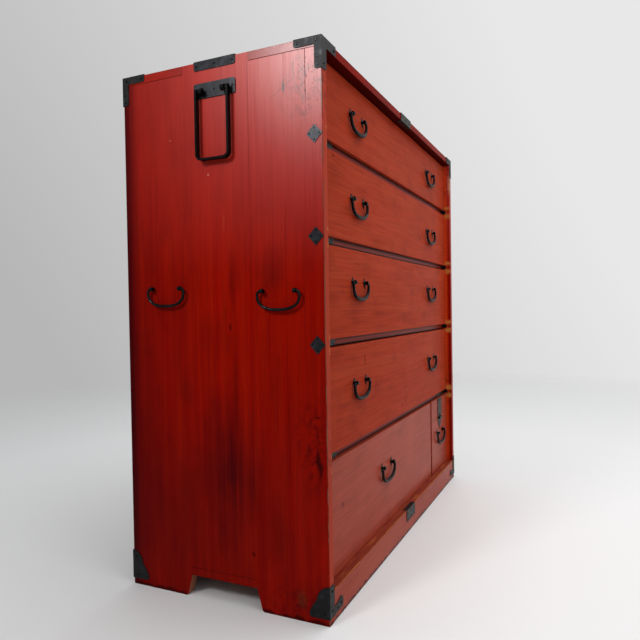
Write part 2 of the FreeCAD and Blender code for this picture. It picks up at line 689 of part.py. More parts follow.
def lock_channel(span):
    """Channel in the back of the small drawer's front that the bolt slides in, open at the top."""
    x, top, rear = lock_places(span)
    half = BOLT_WIDTH / 2 + BOLT_CLEARANCE
    low = top - BOLT_TOP_INSET - BOLT_LENGTH - BOLT_CLEARANCE
    channel = box(x - half, x + half, rear - BOLT_THICK - BOLT_CLEARANCE, rear, low, top)
    return fused([channel, stem_slot(span, FACE_Y, rear)])


def lock_plate(span):
    """Shield-shaped plate with a slot for the stem and a keyhole in its tip."""
    x, top, _ = lock_places(span)
    half, tip_half = LOCK_PLATE_WIDTH / 2, LOCK_TIP_WIDTH / 2
    shoulder_z, tip_z = top - LOCK_PLATE_SQUARE, top - LOCK_PLATE_HEIGHT
    points = [
        (-half, top), (half, top), (half, shoulder_z),
        (tip_half, tip_z), (-tip_half, tip_z), (-half, shoulder_z),
    ]
    outside = FACE_Y - LOCK_PLATE_THICK
    plate = prism([Vector(x + px, outside, pz) for px, pz in points], Vector(0, LOCK_PLATE_THICK, 0))
    centre = Vector(x, outside, top - KEYHOLE_DROP)
    keyhole = Part.makeCylinder(KEYHOLE_RADIUS, LOCK_PLATE_THICK, centre, Vector(0, 1, 0))
    return plate.cut(stem_slot(span, outside, FACE_Y)).cut(keyhole)


def lock_back_plate(span):
    """Iron plate that closes the bolt's channel inside the drawer."""
    x, top, rear = lock_places(span)
    half = LOCK_BACK_WIDTH / 2
    low = top - BOLT_TOP_INSET - LOCK_BACK_LENGTH
    return box(x - half, x + half, rear, rear + LOCK_PLATE_THICK, low, top - BOLT_TOP_INSET)


def bolt_mortise(span):
    """Mortise in the rail above that takes the raised bolt."""
    x, _, rear = lock_places(span)
    half = BOLT_WIDTH / 2 + BOLT_CLEARANCE
    low = row_bottom(RAIL_COUNT - 1) - RAIL_HEIGHT
    front = rear - BOLT_THICK - BOLT_CLEARANCE
    return box(x - half, x + half, front, rear + BOLT_CLEARANCE, low, low + BOLT_MORTISE_DEPTH)


# Assembly

SIDE_TURNS = {"left": -90.0, "right": 90.0}
SIDE_SIGNS = {"left": -1, "right": 1}
SIDE_HANDLE_PLACES = (
    ("front", FRONT_Y + SIDE_HANDLE_FRONT_INSET, SIDE_HANDLE_FRONT_Z),
    ("back", BACK_Y - SIDE_HANDLE_BACK_INSET, SIDE_HANDLE_BACK_Z),
)
SMALL_ROW = len(OPENINGS) - 1


def drawer_layout():
    """Name, corners and handle places of every drawer."""
    layout = []
    for row, lift in enumerate((HANDLE_RAISE_1, HANDLE_RAISE_2, HANDLE_RAISE_3, HANDLE_RAISE_4)):
        span = drawer_span(row, -INNER_HALF, INNER_HALF)
        offset = (span[1] - span[0]) / 2 - HANDLE_INSET
        layout.append((f"drawer_{row + 1}", span, handle_places(span, (-offset, offset), lift)))
    wide = drawer_span(SMALL_ROW, -INNER_HALF, DIVIDER_X)
    layout.append(("wide_drawer", wide, handle_places(wide, (WIDE_HANDLE_SHIFT,), WIDE_HANDLE_RAISE)))
    small = drawer_span(SMALL_ROW, DIVIDER_X + DIVIDER_THICK, INNER_HALF)
    layout.append(("small_drawer", small, handle_places(small, (0,), SMALL_HANDLE_RAISE)))
    return layout


def build_drawers(nodes):
    """Every drawer with its handles; the small one also with its lock."""
    grip = bail(POST_STANDOFF, BAIL_MID_RADIUS)
    fixings = drawer_fixings()
    for name, span, places in drawer_layout():
        metal = [placed(piece, place) for place in places for piece in fixings]
        front = drawer_front(span).cut(compound(metal))
        if name == "small_drawer":
            front = front.cut(lock_channel(span))
            nodes["lock_plate"] = lock_plate(span)
            nodes["lock_bolt"] = lock_bolt(span)
            nodes["lock_back_plate"] = lock_back_plate(span)
        nodes[f"{name}_front"] = front
        nodes[f"{name}_walls"] = compound(drawer_walls(span))
        nodes[f"{name}_bottom"] = drawer_bottom(span)
        nodes[f"{name}_handle_posts"] = compound(metal)
        tags = ("_left", "_right") if len(places) > 1 else ("",)
        for tag, place in zip(tags, places):
            nodes[f"{name}{tag}_handle"] = placed(grip, place)


def build_side_handles(nodes):
    """Carrying handles of both sides, with the posts let into the boards."""
    eyes = [post(end, SIDE_POST_STANDOFF, SIDE_LEG_LENGTH, False) for end in (-1, 1)]
    grip = bail(SIDE_POST_STANDOFF, SIDE_BAIL_MID_RADIUS)
    pole_grip, plate = pole_bail(), pole_plate()
    pole_pins = [pole_post(end) for end in (-1, 1)]
    posts, pole_posts, plates = [], [], []
    for name, turn in SIDE_TURNS.items():
        x_face = SIDE_SIGNS[name] * HALF_WIDTH
        for tag, y, z in SIDE_HANDLE_PLACES:
            place = Vector(x_face, y, z)
            posts += [placed(eye, place, turn) for eye in eyes]
            nodes[f"{name}_{tag}_side_handle"] = placed(grip, place, turn)
        pivot = Vector(x_face, MID_Y, CASE_HEIGHT - POLE_PIVOT_DROP)
        pins = [placed(pin, pivot, turn) for pin in pole_pins]
        pole_posts += pins
        plates.append(placed(plate, pivot, turn).cut(compound(pins)))
        nodes[f"{name}_pole_handle"] = placed(pole_grip, pivot, turn)
    nodes["side_handle_posts"] = compound(posts)
    nodes["pole_handle_posts"] = compound(pole_posts)
    nodes["pole_handle_plates"] = compound(plates)


def build_irons(nodes):
    """Corner irons, straps, lozenges and rail plates."""
    signs = SIDE_SIGNS.values()
    corners = [(sign, at_back) for sign in signs for at_back in (False, True)]
    nodes["top_corner_irons"] = compound([top_corner_iron(*corner) for corner in corners])
    nodes["foot_corner_irons"] = compound([foot_iron(*corner) for corner in corners])
    nodes["edge_straps"] = compound([top_strap(), base_strap()] + [side_strap(sign) for sign in signs])
    joints = [(sign, row) for sign in signs for row in range(DIAMOND_COUNT)]
    nodes["diamond_plates"] = compound([diamond_plate(*joint) for joint in joints])
    nodes["rail_end_irons"] = compound([plate for row in range(RAIL_COUNT) for plate in rail_irons(row)])


def build_case(nodes):
    """Boards of the case; the sides are cut for everything that is let into them."""
    small_span = drawer_layout()[-1][1]
    rails = [rail(row) for row in range(RAIL_COUNT)]
    rails[-1] = rails[-1].cut(bolt_mortise(small_span))
    panels = [dust_panel(row) for row in range(RAIL_COUNT)]
    planks, skirt = back_boards(), apron()
    posts = [nodes["side_handle_posts"], nodes["pole_handle_posts"]]
    left = left_side(compound(rails + panels + planks + [skirt] + posts))
    nodes["left_side"] = left
    nodes["right_side"] = mirrored_x(left)
    nodes["top_board"] = top_board()
    nodes["bottom_board"] = bottom_board()
    nodes["base_apron"] = skirt.cut(base_strap())
    nodes["back_boards"] = compound(planks)
    nodes["front_rails"] = compound(rails)
    nodes["dust_panels"] = compound(panels)
    nodes["drawer_divider"] = divider()


def build():
    """All nodes by name."""
    nodes = {}
    build_side_handles(nodes)
    build_irons(nodes)
    build_drawers(nodes)
    build_case(nodes)
    return nodes


def main():
    os.makedirs("parts", exist_ok=True)
    for name, shape in build().items():
        shape.exportStep(f"parts/{name}.step")


main()
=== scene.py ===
from math import radians

import bmesh
import bpy
from mathutils import Matrix, Vector


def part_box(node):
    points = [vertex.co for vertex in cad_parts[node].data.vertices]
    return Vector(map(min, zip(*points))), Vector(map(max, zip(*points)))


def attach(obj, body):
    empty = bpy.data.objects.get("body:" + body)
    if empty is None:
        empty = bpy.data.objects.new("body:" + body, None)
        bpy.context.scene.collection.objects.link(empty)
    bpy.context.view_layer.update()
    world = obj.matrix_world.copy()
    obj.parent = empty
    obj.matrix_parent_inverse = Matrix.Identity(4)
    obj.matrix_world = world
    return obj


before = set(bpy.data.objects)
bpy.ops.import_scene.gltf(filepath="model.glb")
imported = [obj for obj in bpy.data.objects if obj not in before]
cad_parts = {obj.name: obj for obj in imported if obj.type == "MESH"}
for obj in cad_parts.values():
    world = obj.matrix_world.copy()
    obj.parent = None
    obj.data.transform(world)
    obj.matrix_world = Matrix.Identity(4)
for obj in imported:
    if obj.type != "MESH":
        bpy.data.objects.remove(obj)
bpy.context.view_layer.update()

MM = 0.001
WELD = 1e-6

# Places of the chest, from the frame

side_low, side_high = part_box("left_side")
LEFT_X = side_low.x
RIGHT_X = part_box("right_side")[1].x
INNER_RIGHT_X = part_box("right_side")[0].x
FRONT_Y, BACK_Y = side_low.y, side_high.y
MID_Y = (FRONT_Y + BACK_Y) / 2
CASE_TOP = side_high.z
TOP_BOARD_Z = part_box("top_board")[0].z
SILL_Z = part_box("base_apron")[1].z
FOOT_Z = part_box("bottom_board")[0].z
IRON_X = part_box("diamond_plates")[1].x
IRON_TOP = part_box("top_corner_irons")[1].z
IRON_SHEET = IRON_TOP - CASE_TOP
FINGER_FRONT_Y = FRONT_Y + (BACK_Y - FRONT_Y) / 3
FINGER_BACK_Y = BACK_Y - (BACK_Y - FRONT_Y) / 3


def solid_boxes(node):
    """Low and high corners of every separate solid of a CAD node."""
    shape = bmesh.new()
    shape.from_mesh(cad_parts[node].data)
    bmesh.ops.remove_doubles(shape, verts=shape.verts, dist=WELD)
    boxes, seen = [], set()
    for start in shape.verts:
        if start in seen:
            continue
        seen.add(start)
        group = [start]
        for vert in group:
            others = [edge.other_vert(vert) for edge in vert.link_edges]
            fresh = [other for other in others if other not in seen]
            seen.update(fresh)
            group += fresh
        columns = list(zip(*(vert.co for vert in group)))
        low, high = [min(column) for column in columns], [max(column) for column in columns]
        boxes.append((Vector(low), Vector(high)))
    shape.free()
    return boxes


def linear(colour):
    """An sRGB hex value as a linear colour."""
    channels = [int(colour[i:i + 2], 16) / 255 for i in (1, 3, 5)]
    return [c / 12.92 if c <= 0.04045 else ((c + 0.055) / 1.055) ** 2.4 for c in channels] + [1.0]


def add(tree, kind, links=None, **settings):
    """A node with its settings; each input is linked to a node or socket, or set to a value."""
    node = tree.nodes.new(kind)
    for key, value in settings.items():
        setattr(node, key, value)
    for socket, source in (links or {}).items():
        if isinstance(source, bpy.types.Node):
            source = source.outputs[0]
        if isinstance(source, bpy.types.NodeSocket):
            tree.links.new(source, node.inputs[socket])
        else:
            node.inputs[socket].default_value = source
    return node


# Patterns that the finishes are made of

def object_place(tree):
    """Place on the piece, in metres."""
    return add(tree, "ShaderNodeTexCoord").outputs["Object"]


def along(tree, axis, source="Object"):
    """Place along an axis, or with the source Normal how far a face looks along it."""
    place = add(tree, "ShaderNodeTexCoord").outputs[source]
    return add(tree, "ShaderNodeSeparateXYZ", {"Vector": place}).outputs[axis]


def sideways(tree, axis):
    """How far a face looks along an axis, either way."""
    return add(tree, "ShaderNodeMath", {0: along(tree, axis, "Normal")}, operation="ABSOLUTE")


def front_faces(tree):
    """The faces that look to the front."""
    return above(tree, along(tree, 1, "Normal"), -0.7, -0.9)


def with_grain(grain, across_mm, along_mm):
    """Pattern sizes that follow a grain, one across it and one along it."""
    return [along_mm if size == max(grain) else across_mm for size in grain]


def mottle(tree, size_mm, detail=3.0, shift=0.0, place=None):
    """Cloudy pattern whose patches have the given size along x, y and z."""
    scale = [1 / (size * MM) for size in size_mm]
    place = object_place(tree) if place is None else place
    place = add(tree, "ShaderNodeMapping", {"Vector": place, "Scale": scale, "Location": [shift] * 3})
    return add(tree, "ShaderNodeTexNoise", {"Vector": place, "Scale": 1.0, "Detail": detail})


def above(tree, pattern, low, high):
    """How far a pattern rises from low to high, from 0 to 1."""
    return add(tree, "ShaderNodeMapRange", {"Value": pattern, "From Min": low, "From Max": high})


def near(tree, places, reach, ragged=None):
    """1 at a plane, or at the line where two planes meet, fading to 0 at the reach in metres.

    A ragged pattern breaks the border up into stretches.
    """
    scale = [1.0 if axis in places else 0.0 for axis in range(3)]
    shift = [-places.get(axis, 0.0) for axis in range(3)]
    offset = add(tree, "ShaderNodeMapping", {"Vector": object_place(tree), "Scale": scale, "Location": shift})
    distance = add(tree, "ShaderNodeVectorMath", {0: offset}, operation="LENGTH").outputs["Value"]
    if ragged is not None:
        wobble = add(tree, "ShaderNodeMath", {0: ragged, 1: 4 * reach, 2: -2.2 * reach},
                     operation="MULTIPLY_ADD")
        distance = add(tree, "ShaderNodeMath", {0: distance, 1: wobble}, operation="ADD")
    return above(tree, distance, reach, reach * 0.4)


def spot(tree, centre, half, fuzz=0.5, shift=0.0, turn=0.0):
    """Soft-edged ellipse of half sizes in mm, turned about x; an axis with no half size isn't bounded."""
    scale = [1 / (size * MM) if size else 0 for size in half]
    offset = Matrix.Rotation(turn, 3, "X") @ -Vector(centre)
    place = object_place(tree)
    place = add(tree, "ShaderNodeMapping", {"Vector": place, "Rotation": [turn, 0, 0], "Location": offset})
    place = add(tree, "ShaderNodeMapping", {"Vector": place, "Scale": scale})
    radius = add(tree, "ShaderNodeVectorMath", {0: place}, operation="LENGTH").outputs["Value"]
    ragged = mottle(tree, [max(size, 2) for size in half], 4.0, shift)
    edge = add(tree, "ShaderNodeMath", {0: ragged, 1: 1.6, 2: -0.8}, operation="MULTIPLY_ADD")
    wavy = add(tree, "ShaderNodeMath", {0: radius, 1: edge}, operation="ADD")
    return above(tree, wavy, 1 + fuzz, 1 - fuzz)


def dots(tree, spacing_mm, radius_mm):
    """Round specks strewn at about the given spacing."""
    cells = add(tree, "ShaderNodeTexVoronoi", {"Vector": object_place(tree), "Scale": 1 / (spacing_mm * MM)})
    reach = radius_mm / spacing_mm
    return above(tree, cells.outputs["Distance"], reach, reach * 0.5)


def both(tree, mask, *others):
    """A mask where several masks meet; a number among them weakens it."""
    for other in others:
        mask = add(tree, "ShaderNodeMath", {0: mask, 1: other}, operation="MULTIPLY", use_clamp=True)
    return mask


def either(tree, masks):
    """The strongest of several masks."""
    total = masks[0]
    for mask in masks[1:]:
        total = add(tree, "ShaderNodeMath", {0: total, 1: mask}, operation="MAXIMUM")
    return total


def paint(tree, under, over, mask):
    """A colour laid over another by a mask."""
    over = linear(over) if isinstance(over, str) else over
    under = linear(under) if isinstance(under, str) else under
    return add(tree, "ShaderNodeMix", {0: mask, 6: under, 7: over}, data_type="RGBA").outputs[2]


def new_material(name):
    """An empty node material and its tree."""
    material = bpy.data.materials.new(name)
    material.use_nodes = True
    material.node_tree.nodes.clear()
    return material, material.node_tree


def close_material(tree, colour, roughness, height, relief_mm, **values):
    """The surface shader with a relief, and the values that are the same all over."""
    bump = add(tree, "ShaderNodeBump", {"Height": height, "Distance": relief_mm * MM, "Strength": 1.0})
    links = {"Base Color": colour, "Roughness": roughness, "Normal": bump}
    links.update({key.replace("_", " "): value for key, value in values.items()})
    shader = add(tree, "ShaderNodeBsdfPrincipled", links)
    add(tree, "ShaderNodeOutputMaterial", {"Surface": shader})


# Lacquered wood: thin vermilion urushi wiped on softwood, so the grain shows through its gloss

GRAIN_UP = (1.6, 1.6, 120.0)
GRAIN_ACROSS = (120.0, 1.6, 1.6)
BOX_GRAIN = (2.4, 110.0, 2.4)
RAW_WOOD = "#9C6A4C"
END_GRAIN = "#8C604A"
RUBBED_SILL = "#A0572E"
RUBBED_INSIDE = "#CC8440"
FADED_RED = "#A8452A"
UNDERCOAT = "#430806"
GRIME = "#180404"
SOOT_AND_SHADE = "#2A0308"
SIDE_JOINTS = (73.0, 145.0, 200.0, 407.0)
STILE_JOINT = 31.0
RAIL_HEIGHT = 12.0


def scuffed(tree, scuffs, shift):
    """Smudges, and small knocks, in the given patches."""
    places = either(tree, [spot(tree, centre, half, 0.7, 1.3) for centre, half in scuffs])
    smudge = above(tree, mottle(tree, (16.0, 12.0, 16.0), 5.0, shift + 2.0), 0.45, 0.65)
    chips = above(tree, mottle(tree, (7.0, 4.0, 5.0), 6.0, shift + 5.0), 0.57, 0.64)
    knocks = either(tree, [both(tree, dots(tree, 5.0, 0.9), smudge), both(tree, chips, 0.6)])
    return both(tree, smudge, places), both(tree, knocks, places)


def lacquered_wood(name, deep, body, bright, grain, gloss, shift=0.0, shade=None, worn=None, seams=None,
                   marks=(), scuffs=(), polish=None, tints=()):
    """Worn lacquer: grain, clouds, smears, tints of painted light, a darkened part (painted shade on the front,
    the rails and the lower sides; soot clouds on the top), seams, rubbed edges, specks, marks and scuffs.

    Soot marks show the grain. Where it is polished, a clear coat of lacquer lies over it.
    """
    material, tree = new_material(name)
    cloud = above(tree, mottle(tree, with_grain(grain, 110.0, 420.0), 4.0, shift), 0.32, 0.68)
    streak = above(tree, mottle(tree, with_grain(grain, 14.4, 480.0), 4.0, shift + 3.1), 0.38, 0.68)
    fine = above(tree, mottle(tree, grain, 5.0, shift + 7.7), 0.40, 0.68)
    colour = paint(tree, body, deep, both(tree, cloud, 0.55))
    colour = paint(tree, colour, bright, both(tree, streak, 0.28))
    colour = paint(tree, colour, UNDERCOAT, both(tree, fine, 0.36))
    smear = above(tree, mottle(tree, with_grain(grain, 34.0, 70.0), 6.0, shift + 15.0), 0.50, 0.72)
    colour = paint(tree, colour, UNDERCOAT, both(tree, smear, 0.22))
    # Tints lay painted light over the lacquer: painted highlights and painted light.
    for patch, tone, strength in tints:
        colour = paint(tree, colour, tone, both(tree, patch(tree), strength))
    # Darkening by the shade mask: painted shade on most pieces, soot clouds on the top.
    if shade is not None:
        colour = paint(tree, colour, SOOT_AND_SHADE, shade(tree))
    figure = either(tree, [streak, fine])
    soaked = add(tree, "ShaderNodeMapRange", {"Value": figure, "To Min": 1.0, "To Max": 0.5})
    for centre, half, tone, strength, fuzz, turn in marks:
        mask = both(tree, spot(tree, centre, half, fuzz, shift + half[2], turn), strength)
        mask = both(tree, mask, soaked) if tone == SOOT_AND_SHADE else mask
        colour = paint(tree, colour, tone, mask)
    pitted = above(tree, mottle(tree, (60.0, 60.0, 60.0), 2.0, shift + 9.0), 0.46, 0.54)
    pits = both(tree, dots(tree, 17, 1.1), pitted)
    if scuffs:
        smudge, knocks = scuffed(tree, scuffs, shift)
        colour = paint(tree, colour, SOOT_AND_SHADE, both(tree, smudge, 0.6))
        pits = either(tree, [pits, knocks])
    colour = paint(tree, colour, GRIME, both(tree, pits, 0.7))
    height = add(tree, "ShaderNodeMath", {0: fine, 1: 0.35}, operation="MULTIPLY")
    height = add(tree, "ShaderNodeMath", {0: pits, 1: -1.0, 2: height}, operation="MULTIPLY_ADD")
    lines = seams(tree) if seams is not None else 0.0
    if seams is not None:
        colour = paint(tree, colour, GRIME, both(tree, lines, 0.75))
        height = add(tree, "ShaderNodeMath", {0: lines, 1: -2.0, 2: height}, operation="MULTIPLY_ADD")
    roughness = add(tree, "ShaderNodeMapRange", {"Value": cloud, "To Min": 0.30, "To Max": 0.36})
    roughness = add(tree, "ShaderNodeMath", {0: pits, 1: 0.25, 2: roughness}, operation="MULTIPLY_ADD")
    if worn is not None:
        rubbed, bare, bare_tone = worn(tree)
        colour = paint(tree, colour, UNDERCOAT, both(tree, rubbed, 0.75))
        colour = paint(tree, colour, bare_tone, both(tree, bare, 0.85))
        roughness = add(tree, "ShaderNodeMath", {0: bare, 1: 0.3, 2: roughness}, operation="MULTIPLY_ADD")
    coat = {}
    if polish is not None:
        broken = either(tree, [pits, lines, both(tree, fine, 0.35)])
        whole = add(tree, "ShaderNodeMath", {0: 1.0, 1: broken}, operation="SUBTRACT", use_clamp=True)
        coat = {"Coat_Weight": both(tree, polish(tree, cloud), whole), "Coat_Roughness": 0.29}
    close_material(tree, colour, roughness, height, 0.02, IOR=gloss, **coat)
    return material


def upper_polish(tree, cloud):
    """Clear coat of a side's broad faces, kept towards the top and the front and thinner in clouds."""
    rising = above(tree, along(tree, 2), 0.58, 0.98)
    forward = above(tree, along(tree, 1), BACK_Y, FRONT_Y + 0.10)
    broad = above(tree, sideways(tree, 0), 0.6, 0.9)
    thinned = add(tree, "ShaderNodeMapRange", {"Value": cloud, "To Min": 1.0, "To Max": 0.76})
    return both(tree, rising, forward, broad, thinned)


def upper_front(tree):
    """The upper front part of a side, lightened as a painted highlight."""
    rising = above(tree, along(tree, 2), 0.62, 1.0)
    forward = add(tree, "ShaderNodeMapRange", {"Value": along(tree, 1), "From Min": BACK_Y,
                                               "From Max": FRONT_Y, "To Min": 0.4, "To Max": 1.0})
    return both(tree, rising, forward)


def finger_ends(tree):
    """The ends of the top board's fingers, in the painted highlight of the sides."""
    return both(tree, upper_front(tree), above(tree, sideways(tree, 0), 0.6, 0.9))


def top_shade(tree):
    """Smoke on the top board, in clouds."""
    return both(tree, above(tree, mottle(tree, (240.0, 130.0, 130.0), 5.0, 17.0), 0.40, 0.70), 0.35)


def inner_front(tree):
    """The strip of a side's inner face in front of the drawers, brightened as painted light."""
    place, normal = along(tree, 0), along(tree, 0, "Normal")
    outward = add(tree, "ShaderNodeMath", {0: place, 1: normal}, operation="MULTIPLY")
    strip = spot(tree, (0.0, FRONT_Y + 18 * MM, 0.0), (0.0, 8.0, 0.0), 0.5, 2.0)
    return both(tree, above(tree, outward, -0.1, -0.3), strip)


def rubbed_lines(tree, lines, reach):
    """Edges rubbed in stretches through to the undercoat, with bare wood in their middle."""
    ragged = mottle(tree, (16.0, 16.0, 45.0), 6.0, 4.4)
    rubbed = either(tree, [near(tree, line, reach * 1.8, ragged) for line in lines])
    bare = either(tree, [near(tree, line, reach, ragged) for line in lines])
    return rubbed, bare


def side_wear(outer_x):
    """Wear of a side: its front and back arrises, its foot ends and the end grain of the foot cut-out."""
    def worn(tree):
        rubbed, bare = rubbed_lines(tree, [{0: outer_x, 1: FRONT_Y}, {0: outer_x, 1: BACK_Y}], 0.9 * MM)
        edge_on = above(tree, sideways(tree, 0), 0.5, 0.3)
        low = above(tree, along(tree, 2), FOOT_Z + 2 * MM, FOOT_Z)
        behind = above(tree, along(tree, 1), FRONT_Y + 4 * MM, FRONT_Y + 5 * MM)
        ends = both(tree, edge_on, low, behind)
        return rubbed, either(tree, [both(tree, bare, 0.65), both(tree, ends, 0.8)]), END_GRAIN
    return worn


def side_shade(tree):
    """Sides darker towards the floor as painted shade, and darker towards the back and along the back edge."""
    low = both(tree, above(tree, along(tree, 2), 0.56, 0.02), 0.26)
    back = both(tree, above(tree, along(tree, 1), BACK_Y - 0.20, BACK_Y), 0.45)
    rim = both(tree, above(tree, along(tree, 1), BACK_Y - 0.045, BACK_Y - 0.008), 0.85)
    uneven = above(tree, mottle(tree, (90.0, 90.0, 260.0), 5.0, 12.0), 0.15, 0.60)
    total = add(tree, "ShaderNodeMath", {0: low, 1: back}, operation="ADD")
    return either(tree, [both(tree, total, uneven), rim])


def comb_joint_lines(tree):
    """Dark lines where the fingers of the top board and the tongue of the bottom board meet the side."""
    depth = along(tree, 1)
    thirds = either(tree, [above(tree, depth, FINGER_FRONT_Y, FINGER_FRONT_Y - 0.5 * MM),
                           above(tree, depth, FINGER_BACK_Y, FINGER_BACK_Y + 0.5 * MM)])
    level = both(tree, near(tree, {2: TOP_BOARD_Z}, 0.9 * MM), thirds)
    uprights = either(tree, [near(tree, {1: y}, 0.7 * MM) for y in (FINGER_FRONT_Y, FINGER_BACK_Y)])
    ends = both(tree, uprights, 0.5, above(tree, along(tree, 2), TOP_BOARD_Z - MM, TOP_BOARD_Z))
    middle = add(tree, "ShaderNodeMath", {0: 1.0, 1: thirds}, operation="SUBTRACT")
    tongue = both(tree, near(tree, {2: SILL_Z}, 0.8 * MM), middle)
    tongue_ends = both(tree, uprights, 0.6, above(tree, along(tree, 2), SILL_Z + MM, SILL_Z))
    return either(tree, [level, ends, tongue, tongue_ends])


def darkened_floor_edge(tree):
    """Darker along the lowest edges, near the floor."""
    return near(tree, {2: 0.0}, 6 * MM, mottle(tree, (18.0, 18.0, 18.0), 4.0, 6.0))


def side_board_lines(tree):
    """Joints of the side's boards, open in stretches, and the comb joints."""
    open_stretches = above(tree, mottle(tree, (40.0, 40.0, 150.0), 3.0, 2.2), 0.50, 0.60)
    joints = either(tree, [near(tree, {1: FRONT_Y + inset * MM}, 0.6 * MM) for inset in SIDE_JOINTS])
    stile = both(tree, near(tree, {1: FRONT_Y + STILE_JOINT * MM}, 0.8 * MM),
                 above(tree, along(tree, 2), 0.86, 0.93))
    faint = both(tree, joints, open_stretches, 0.7)
    return either(tree, [faint, stile, comb_joint_lines(tree), darkened_floor_edge(tree)])


def on_side(inset_mm, height_mm, half_y, half_z, tone, strength, fuzz=0.5, turn=0.0):
    """A mark on a side, by its distance from the front plane and its height."""
    return (0.0, FRONT_Y + inset_mm * MM, height_mm * MM), (0.0, half_y, half_z), tone, strength, fuzz, turn


def rail_end_marks(inner_x):
    """Places by the rail ends where the drawers have rubbed the inner face of a side down to bare wood."""
    marks = []
    for row in (1, 2, 3, 4):
        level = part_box(f"drawer_{row}_front")[0].z
        for rise, half in ((6, 3 + row), (-19, 7)):
            centre = (inner_x, FRONT_Y + 9 * MM, level + rise * MM)
            marks.append((centre, (4, 10, half), RUBBED_INSIDE, 0.85, 0.5, 0.0))
    return tuple(marks)


LEFT_SIDE_MARKS = (
    on_side(194, 243, 40, 100, SOOT_AND_SHADE, 0.95, 0.9),
    on_side(270, 165, 110, 90, SOOT_AND_SHADE, 0.30, 0.9),
    on_side(183, 596, 7, 52, "#640402", 0.5),
    on_side(180, 416, 5, 90, "#520402", 0.5, 0.8),
    on_side(73, 926, 2, 11, GRIME, 0.9),
    on_side(73, 926, 24, 1.2, GRIME, 0.4, 0.6, 0.55),
    on_side(53, 955, 0.8, 22, GRIME, 0.5, 0.6),
    on_side(190, 512, 3, 6, GRIME, 0.6),
    on_side(18, 285, 3, 15, GRIME, 0.8),
    on_side(13, 266, 3, 20, GRIME, 0.7),
    on_side(17, 357, 6, 2, GRIME, 0.6),
    on_side(105, 603, 20, 34, UNDERCOAT, 0.45, 0.8),
    on_side(61, 627, 8, 20, "#8E1403", 0.5, 0.8),
    on_side(200, 705, 1.2, 14, "#B84A22", 0.35, 0.8),
    on_side(53, 37, 8, 13, "#5A2A14", 0.55, 0.5),
    on_side(149, 102, 3, 4, GRIME, 0.7),
    on_side(232, 792, 1.1, 1.1, "#C8B8A8", 0.8),
    on_side(317, 865, 1.4, 1.1, "#B87850", 0.7),
)
RIGHT_SIDE_MARKS = (
    on_side(230, 190, 50, 100, SOOT_AND_SHADE, 0.5, 0.9),
    on_side(120, 560, 18, 45, UNDERCOAT, 0.45, 0.8),
    on_side(310, 720, 4, 9, GRIME, 0.7),
    on_side(60, 300, 4, 18, GRIME, 0.7),
    on_side(340, 330, 3, 3, RAW_WOOD, 0.8),
    ((INNER_RIGHT_X, FRONT_Y + 2 * MM, 0.925), (4, 4, 24), "#C09474", 0.8, 0.6, 0.0),
)
TOP_SCUFFS = (
    ((-0.22, 0.04, 0.0), (190, 110, 0.0)),
    ((0.26, -0.08, 0.0), (150, 90, 0.0)),
    ((0.05, 0.14, 0.0), (260, 50, 0.0)),
)
CORNER_SCUFFS = (
    ((0.0, FRONT_Y + 26 * MM, 0.93), (0.0, 34, 52)),
    ((0.0, FRONT_Y + 25 * MM, 0.31), (0.0, 26, 60)),
    ((0.0, FRONT_Y + 60 * MM, 0.03), (0.0, 50, 28)),
)


def on_drawer(x_mm, height_mm, half_x, half_z, tone, strength, fuzz=0.5):
    """A mark on a drawer front, by its distance from the left face and its height."""
    return (LEFT_X + x_mm * MM, 0.0, height_mm * MM), (half_x, 0.0, half_z), tone, strength, fuzz, 0.0


DRAWER_MARKS = (
    on_drawer(674, 724, 4, 5, UNDERCOAT, 0.7),
    on_drawer(235, 436, 3, 10, UNDERCOAT, 0.7),
    on_drawer(489, 304, 4, 5, UNDERCOAT, 0.6),
    on_drawer(107, 175, 5, 5, UNDERCOAT, 0.6),
    on_drawer(85, 821, 4, 3, UNDERCOAT, 0.7),
    on_drawer(560, 200, 30, 40, FADED_RED, 0.35, 0.9),
    on_drawer(780, 420, 40, 50, FADED_RED, 0.30, 0.9),
)


def front_shade(tree):
    """Painted shade on the front, darker towards the floor and the left."""
    low = both(tree, above(tree, along(tree, 2), 0.75, 0.30), 0.13)
    left = both(tree, above(tree, along(tree, 0), LEFT_X + 0.30, LEFT_X), 0.12)
    return add(tree, "ShaderNodeMath", {0: low, 1: left}, operation="ADD")


def rail_shade(tree):
    """Painted shadow in the corner below each drawer, and painted shade along the lower edge of each rail."""
    bands = []
    for row, upper, lower in ((1, 7.0, 2.5), (2, 7.0, 2.5), (3, 4.5, 2.5), (4, 0.5, 4.5)):
        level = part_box(f"drawer_{row}_front")[0].z
        bands += [near(tree, {2: level}, upper * MM), near(tree, {2: level - RAIL_HEIGHT * MM}, lower * MM)]
    return both(tree, either(tree, bands), 0.95)


def apron_wear(tree):
    """Sill with its top face darkened, partly wear and partly painted shade under the drawer, rubbed brown by
    the drawers in streaks, with bare wood in stretches of its front arris.
    """
    rubbed, bare = rubbed_lines(tree, [{1: FRONT_Y, 2: SILL_Z}], 1.5 * MM)
    upward = above(tree, along(tree, 2, "Normal"), 0.7, 0.9)
    scraped = above(tree, mottle(tree, (60.0, 6.0, 6.0), 5.0, 3.0), 0.52, 0.72)
    bare = either(tree, [bare, both(tree, upward, scraped, 0.8)])
    # The upward faces are darkened: partly wear, partly painted shade under the drawer.
    return either(tree, [rubbed, both(tree, upward, 0.5)]), bare, RUBBED_SILL


def top_wear(tree):
    """Front and back arrises of the top board."""
    rubbed, bare = rubbed_lines(tree, [{1: FRONT_Y, 2: CASE_TOP}, {1: BACK_Y, 2: CASE_TOP}], 1.0 * MM)
    return rubbed, both(tree, bare, 0.4), RAW_WOOD


# Iron, forged and blackened with lacquer over fire: dark, with a dull sheen where it is handled

RUST = "#2E1710"
RUBBED_IRON = "#545850"


